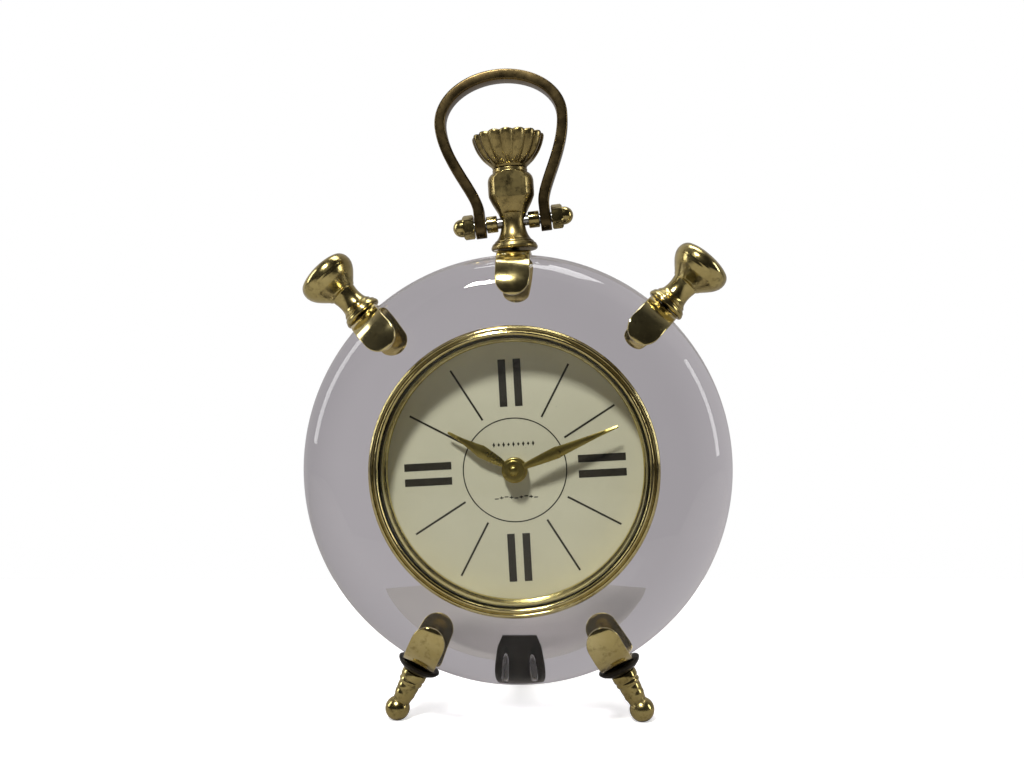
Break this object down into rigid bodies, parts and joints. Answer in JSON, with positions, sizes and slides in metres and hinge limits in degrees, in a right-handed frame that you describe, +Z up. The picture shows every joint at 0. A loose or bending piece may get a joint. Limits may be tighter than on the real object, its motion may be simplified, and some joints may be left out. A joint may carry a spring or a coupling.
{
  "type": "mantel clock",
  "caption": "Mantel clock with a clear acrylic disc, brass fittings on its rim, a bail handle, a round dial insert and a leaning rear leg.",
  "frame": {"origin": "on the surface that the clock stands on, under the middle of its bounding box", "axes": "+Z up; the dial faces -Y and leans back by 4 degrees; +X is to the right as seen from the front"},
  "size_m": [0.139, 0.0638, 0.2112],
  "materials": {
    "acrylic": "polished",
    "brass": "polished",
    "hand_brass": "satin",
    "antique_brass": "satin",
    "steel": "satin",
    "rotor_magnet": "matte",
    "black_steel": "satin",
    "copper_winding": "satin",
    "crystal": "polished",
    "dial_paint": "matte",
    "black_plastic": "matte",
    "white_plastic": "satin",
    "rubber": "matte",
    "board_green": "satin",
    "cell_jacket": "gloss"
  },
  "bodies": {
    "clock_body": {"acrylic_block": "acrylic", "top_pillar": "brass", "crown_cup": "brass", "bail_rod": "steel", "rear_leg_plate": "black_steel", "rear_leg": "brass", "rear_leg_stud": "steel", "bezel_ring": "brass", "crystal_lens": "crystal", "dial_surround": "brass", "dial_plate": "dial_paint", "insert_can": "black_plastic", "grip_band": "rubber", "movement_front_case": "black_plastic", "movement_rear_case": "black_plastic", "centre_bush": "brass", "fixing_nut": "brass", "battery_cell": "cell_jacket", "contact_negative": "steel", "contact_positive": "steel", "circuit_board": "board_green", "quartz_canister": "steel", "drive_coil": "copper_winding", "stator_plate": "steel", "left_knob": "brass", "left_foot": "brass", "left_foot_washer": "black_steel", "left_spacer": "brass", "left_acorn_nut": "brass", "left_plate_screw": "steel", "right_knob": "brass", "right_foot": "brass", "right_foot_washer": "black_steel", "right_spacer": "brass", "right_acorn_nut": "brass", "right_plate_screw": "steel", "top_saddle": "brass", "top_stud": "steel", "left_knob_saddle": "brass", "left_knob_stud": "steel", "right_knob_saddle": "brass", "right_knob_stud": "steel", "left_foot_saddle": "brass", "left_foot_stud": "steel", "right_foot_saddle": "brass", "right_foot_stud": "steel"},
    "bail": {"bail_handle": "antique_brass"},
    "minute_arbor": {"cannon_pinion": "brass", "minute_hand": "hand_brass", "hand_cap_nut": "brass"},
    "motion_work": {"motion_wheel": "white_plastic"},
    "hour_pipe": {"hour_wheel": "white_plastic", "hour_hand": "hand_brass"},
    "setter": {"setting_knob": "white_plastic"},
    "motor_rotor": {"rotor": "rotor_magnet"},
    "step_wheel": {"intermediate_wheel": "white_plastic"},
    "fourth_arbor": {"seconds_wheel": "white_plastic"},
    "third_arbor": {"third_wheel": "white_plastic"},
    "centre_arbor": {"centre_wheel": "brass"}
  },
  "joints": [
    {"name": "bail_swing", "type": "hinge", "parent": "clock_body", "child": "bail", "pos_m": [0.00001, -0.00117, 0.16125], "axis": [0.9942, 0.0075, 0.1077], "range_deg": [-110, 110]},
    {"name": "minute_turn", "type": "hinge", "parent": "clock_body", "child": "minute_arbor", "pos_m": [0.00049, -0.00677, 0.08116], "axis": [0, 0.9976, -0.0698], "continuous": true},
    {"name": "motion_turn", "type": "hinge", "parent": "clock_body", "child": "motion_work", "pos_m": [0.00649, -0.00604, 0.09152], "axis": [0, 0.9976, -0.0698], "continuous": true},
    {"name": "hour_turn", "type": "hinge", "parent": "clock_body", "child": "hour_pipe", "pos_m": [0.00049, -0.00677, 0.08116], "axis": [0, 0.9976, -0.0698], "continuous": true},
    {"name": "setting_turn", "type": "hinge", "parent": "clock_body", "child": "setter", "pos_m": [0.01689, -0.00562, 0.09751], "axis": [0, 0.9976, -0.0698], "continuous": true},
    {"name": "rotor_turn", "type": "hinge", "parent": "clock_body", "child": "motor_rotor", "pos_m": [0.01085, -0.0061, 0.09077], "axis": [0, 0.9976, -0.0698], "continuous": true},
    {"name": "step_turn", "type": "hinge", "parent": "clock_body", "child": "step_wheel", "pos_m": [0.00839, -0.00657, 0.08402], "axis": [0, 0.9976, -0.0698], "continuous": true},
    {"name": "seconds_turn", "type": "hinge", "parent": "clock_body", "child": "fourth_arbor", "pos_m": [0.00049, -0.00677, 0.08116], "axis": [0, 0.9976, -0.0698], "continuous": true},
    {"name": "third_turn", "type": "hinge", "parent": "clock_body", "child": "third_arbor", "pos_m": [-0.00886, -0.00639, 0.08654], "axis": [0, 0.9976, -0.0698], "continuous": true},
    {"name": "centre_turn", "type": "hinge", "parent": "clock_body", "child": "centre_arbor", "pos_m": [0.00049, -0.00677, 0.08116], "axis": [0, 0.9976, -0.0698], "continuous": true}
  ],
  "couplings": [
    {"joint": "motion_turn", "follows": "minute_turn", "ratio": -0.33333},
    {"joint": "hour_turn", "follows": "minute_turn", "ratio": 0.083333},
    {"joint": "setting_turn", "follows": "minute_turn", "ratio": 1},
    {"joint": "step_turn", "follows": "rotor_turn", "ratio": -0.2},
    {"joint": "seconds_turn", "follows": "rotor_turn", "ratio": 0.033333},
    {"joint": "third_turn", "follows": "rotor_turn", "ratio": -0.0044444},
    {"joint": "centre_turn", "follows": "rotor_turn", "ratio": 0.00055556}
  ]
}
